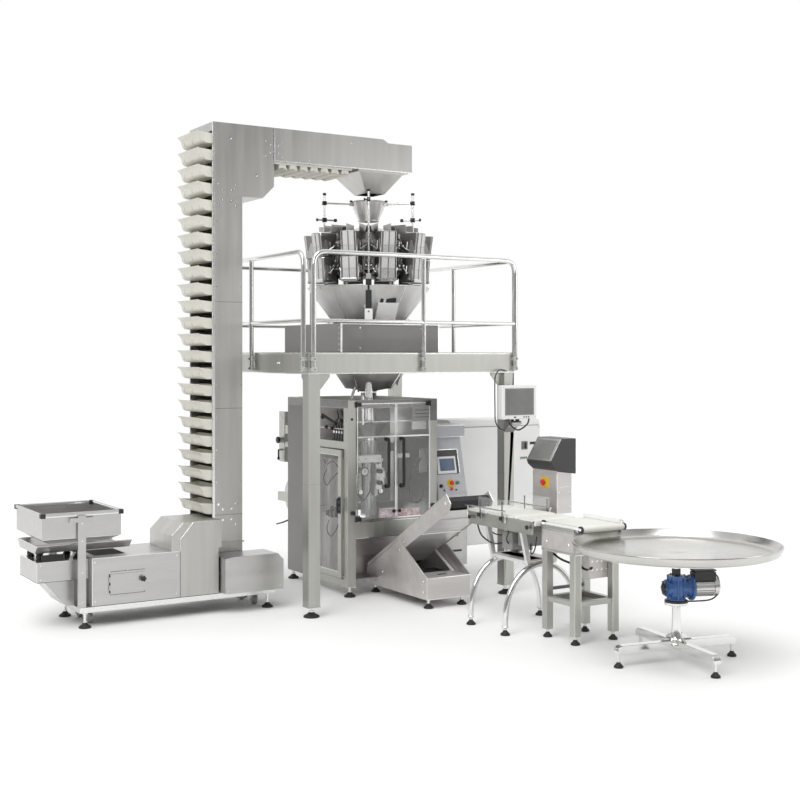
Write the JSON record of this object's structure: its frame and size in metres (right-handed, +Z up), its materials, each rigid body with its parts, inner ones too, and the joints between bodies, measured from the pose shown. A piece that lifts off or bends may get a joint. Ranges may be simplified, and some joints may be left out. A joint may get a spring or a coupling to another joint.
{
  "type": "vertical form fill sealer line",
  "caption": "Vertical form, fill and seal packaging line: bucket elevator, multihead weigher on a railed platform, bagging machine, take-off and check conveyors, rotary collecting table.",
  "frame": {"origin": "middle of the outer box of the whole line, on the floor", "axes": "+X along the elevator arm from infeed hopper to platform, +Y from the rotary table towards the back of the bagging machine, +Z up"},
  "size_m": [4.77, 5.155, 3.872],
  "materials": {
    "stainless_sheet": "brushed stainless sheet",
    "stainless_frame": "satin stainless frame",
    "stainless_tube": "polished stainless tube",
    "grey_cover": "satin grey cover",
    "dark_cover": "charcoal powder coat",
    "white_cover": "white powder coat",
    "bucket_plastic": "food grade moulded plastic",
    "belt_white": "white belt",
    "belt_dark": "dark cleated belt",
    "clear_sheet": "clear polycarbonate",
    "gear_blue": "blue enamel",
    "button_red": "red button",
    "button_green": "green button",
    "film_wrap": "clear film on a reel",
    "black_plastic": "black moulded plastic",
    "cast_plate": "machined plate"
  },
  "bodies": {
    "line_frame": {"elevator_casing": "stainless_sheet", "bucket_chain": "bucket_plastic", "elevator_housing": "stainless_sheet", "elevator_drive_box": "stainless_sheet", "infeed_hopper": "stainless_sheet", "discharge_funnel": "stainless_sheet", "weigher_base": "grey_cover", "weigher_body": "stainless_sheet", "hopper_bank": "stainless_sheet", "collating_chutes": "stainless_sheet", "feed_stand": "stainless_tube", "platform_frame": "stainless_frame", "deck_plate": "stainless_frame", "handrail_front": "stainless_tube", "handrail_left": "stainless_tube", "handrail_right_rear": "stainless_tube", "bagger_frame": "stainless_frame", "product_funnel": "stainless_sheet", "forming_tube": "stainless_tube", "control_console": "stainless_sheet", "electrical_cabinet": "white_cover", "takeoff_frame": "stainless_sheet", "takeoff_belt": "belt_dark", "checkweigher_frame": "stainless_frame", "checkweigher_belt": "belt_white", "checkweigher_head": "dark_cover", "transfer_frame": "stainless_frame", "transfer_belt": "belt_white", "rotary_drive": "gear_blue", "rotary_pedestal": "stainless_frame"},
    "access_door": {"elevator_access_door": "stainless_sheet"},
    "vibratory_tray": {"vibratory_tray": "stainless_sheet"},
    "distribution_cone": {"distribution_cone": "stainless_sheet"},
    "weigh_gate_1": {"weigh_gate_1": "stainless_sheet"},
    "weigh_gate_2": {"weigh_gate_2": "stainless_sheet"},
    "weigh_gate_3": {"weigh_gate_3": "stainless_sheet"},
    "weigh_gate_4": {"weigh_gate_4": "stainless_sheet"},
    "weigh_gate_5": {"weigh_gate_5": "stainless_sheet"},
    "weigh_gate_6": {"weigh_gate_6": "stainless_sheet"},
    "weigh_gate_7": {"weigh_gate_7": "stainless_sheet"},
    "weigh_gate_8": {"weigh_gate_8": "stainless_sheet"},
    "weigh_gate_9": {"weigh_gate_9": "stainless_sheet"},
    "weigh_gate_10": {"weigh_gate_10": "stainless_sheet"},
    "weigher_display": {"weigher_display": "white_cover"},
    "side_door": {"side_door": "stainless_frame"},
    "front_door_left": {"front_door_left": "clear_sheet"},
    "front_door_right": {"front_door_right": "clear_sheet"},
    "pull_belt_left": {"pull_belt_left": "black_plastic"},
    "pull_belt_right": {"pull_belt_right": "black_plastic"},
    "vertical_sealer": {"vertical_sealer": "cast_plate"},
    "seal_jaw_front": {"seal_jaw_front": "cast_plate"},
    "seal_jaw_rear": {"seal_jaw_rear": "cast_plate"},
    "film_roll": {"film_roll": "film_wrap"},
    "dancer_arm": {"dancer_arm": "stainless_frame"},
    "console_estop": {"console_estop": "button_red"},
    "console_start": {"console_start": "button_green"},
    "console_stop": {"console_stop": "button_red"},
    "cabinet_door": {"cabinet_door": "white_cover"},
    "checkweigher_estop": {"checkweigher_estop": "button_red"},
    "rotary_disc": {"rotary_disc": "stainless_tube"}
  },
  "joints": [
    {"name": "access_door_hinge", "type": "hinge", "parent": "line_frame", "child": "access_door", "pos_m": [-1.863, 1.1115, 0.3], "axis": [0, 0, 1], "range_deg": [-110, 0]},
    {"name": "vibratory_tray_shake", "type": "slide", "parent": "line_frame", "child": "vibratory_tray", "axis": [1, 0, 0], "range_m": [-0.003, 0.003], "stiffness_N_per_m": 60000},
    {"name": "distribution_cone_shake", "type": "slide", "parent": "line_frame", "child": "distribution_cone", "axis": [0, 0, 1], "range_m": [0, 0.003], "stiffness_N_per_m": 15000},
    {"name": "weigh_gate_1_hinge", "type": "hinge", "parent": "line_frame", "child": "weigh_gate_1", "pos_m": [0.47472, 0.98024, 2.653], "axis": [-0.9776, 0.2105, 0], "range_deg": [0, 35]},
    {"name": "weigh_gate_2_hinge", "type": "hinge", "parent": "line_frame", "child": "weigh_gate_2", "pos_m": [0.79688, 1.01325, 2.653], "axis": [-0.9146, -0.4044, 0], "range_deg": [0, 35]},
    {"name": "weigh_gate_3_hinge", "type": "hinge", "parent": "line_frame", "child": "weigh_gate_3", "pos_m": [1.03811, 1.22932, 2.653], "axis": [-0.5023, -0.8647, 0], "range_deg": [0, 35]},
    {"name": "weigh_gate_4_hinge", "type": "hinge", "parent": "line_frame", "child": "weigh_gate_4", "pos_m": [1.10627, 1.54592, 2.653], "axis": [0.1019, -0.9948, 0], "range_deg": [0, 35]},
    {"name": "weigh_gate_5_hinge", "type": "hinge", "parent": "line_frame", "child": "weigh_gate_5", "pos_m": [0.97532, 1.84211, 2.653], "axis": [0.6672, -0.7449, 0], "range_deg": [0, 35]},
    {"name": "weigh_gate_6_hinge", "type": "hinge", "parent": "line_frame", "child": "weigh_gate_6", "pos_m": [0.69528, 2.00476, 2.653], "axis": [0.9776, -0.2105, 0], "range_deg": [0, 35]},
    {"name": "weigh_gate_7_hinge", "type": "hinge", "parent": "line_frame", "child": "weigh_gate_7", "pos_m": [0.37312, 1.97175, 2.653], "axis": [0.9146, 0.4044, 0], "range_deg": [0, 35]},
    {"name": "weigh_gate_8_hinge", "type": "hinge", "parent": "line_frame", "child": "weigh_gate_8", "pos_m": [0.13189, 1.75568, 2.653], "axis": [0.5023, 0.8647, 0], "range_deg": [0, 35]},
    {"name": "weigh_gate_9_hinge", "type": "hinge", "parent": "line_frame", "child": "weigh_gate_9", "pos_m": [0.06373, 1.43908, 2.653], "axis": [-0.1019, 0.9948, 0], "range_deg": [0, 35]},
    {"name": "weigh_gate_10_hinge", "type": "hinge", "parent": "line_frame", "child": "weigh_gate_10", "pos_m": [0.19468, 1.14289, 2.653], "axis": [-0.6672, 0.7449, 0], "range_deg": [0, 35]},
    {"name": "weigher_display_swivel", "type": "hinge", "parent": "line_frame", "child": "weigher_display", "pos_m": [1.443, 0.4845, 1.452], "axis": [0, 0, 1], "range_deg": [-20, 20]},
    {"name": "side_door_hinge", "type": "hinge", "parent": "line_frame", "child": "side_door", "pos_m": [0.151, 1.7205, 0.7], "axis": [0, 0, 1], "range_deg": [-110, 0]},
    {"name": "front_door_left_hinge", "type": "hinge", "parent": "line_frame", "child": "front_door_left", "pos_m": [0.253, 1.1165, 1.1], "axis": [0, 0, 1], "range_deg": [-105, 0]},
    {"name": "front_door_right_hinge", "type": "hinge", "parent": "line_frame", "child": "front_door_right", "pos_m": [0.981, 1.1165, 1.1], "axis": [0, 0, 1], "range_deg": [0, 105]},
    {"name": "pull_belt_left_slide", "type": "slide", "parent": "line_frame", "child": "pull_belt_left", "axis": [-1, 0, 0], "range_m": [0, 0.02]},
    {"name": "pull_belt_right_slide", "type": "slide", "parent": "line_frame", "child": "pull_belt_right", "axis": [1, 0, 0], "range_m": [0, 0.02]},
    {"name": "vertical_sealer_slide", "type": "slide", "parent": "line_frame", "child": "vertical_sealer", "axis": [0, 1, 0], "range_m": [-0.02, 0.008]},
    {"name": "seal_jaw_front_slide", "type": "slide", "parent": "line_frame", "child": "seal_jaw_front", "axis": [0, 1, 0], "range_m": [0, 0.038]},
    {"name": "seal_jaw_rear_slide", "type": "slide", "parent": "line_frame", "child": "seal_jaw_rear", "axis": [0, -1, 0], "range_m": [0, 0.038]},
    {"name": "film_roll_spin", "type": "hinge", "parent": "line_frame", "child": "film_roll", "pos_m": [0.595, 2.4125, 0.72], "axis": [1, 0, 0], "continuous": true},
    {"name": "dancer_arm_swing", "type": "hinge", "parent": "line_frame", "child": "dancer_arm", "pos_m": [0.595, 2.3175, 1.244], "axis": [1, 0, 0], "range_deg": [-25, 25]},
    {"name": "console_estop_press", "type": "slide", "parent": "line_frame", "child": "console_estop", "axis": [0, 0.9758, -0.2187], "range_m": [0, 0.006], "stiffness_N_per_m": 900},
    {"name": "console_start_press", "type": "slide", "parent": "line_frame", "child": "console_start", "axis": [0, 0.9758, -0.2187], "range_m": [0, 0.004], "stiffness_N_per_m": 500},
    {"name": "console_stop_press", "type": "slide", "parent": "line_frame", "child": "console_stop", "axis": [0, 0.9758, -0.2187], "range_m": [0, 0.004], "stiffness_N_per_m": 500},
    {"name": "cabinet_door_hinge", "type": "hinge", "parent": "line_frame", "child": "cabinet_door", "pos_m": [2.377, 1.378, 0.9], "axis": [0, 0, 1], "range_deg": [0, 110]},
    {"name": "checkweigher_estop_press", "type": "slide", "parent": "line_frame", "child": "checkweigher_estop", "axis": [1, 0, 0], "range_m": [0, 0.006], "stiffness_N_per_m": 900},
    {"name": "rotary_disc_spin", "type": "hinge", "parent": "line_frame", "child": "rotary_disc", "pos_m": [0.95, -1.8975, 0.7], "axis": [0, 0, 1], "continuous": true}
  ],
  "couplings": [
    {"joint": "pull_belt_right_slide", "follows": "pull_belt_left_slide", "ratio": 1},
    {"joint": "seal_jaw_rear_slide", "follows": "seal_jaw_front_slide", "ratio": 1}
  ]
}
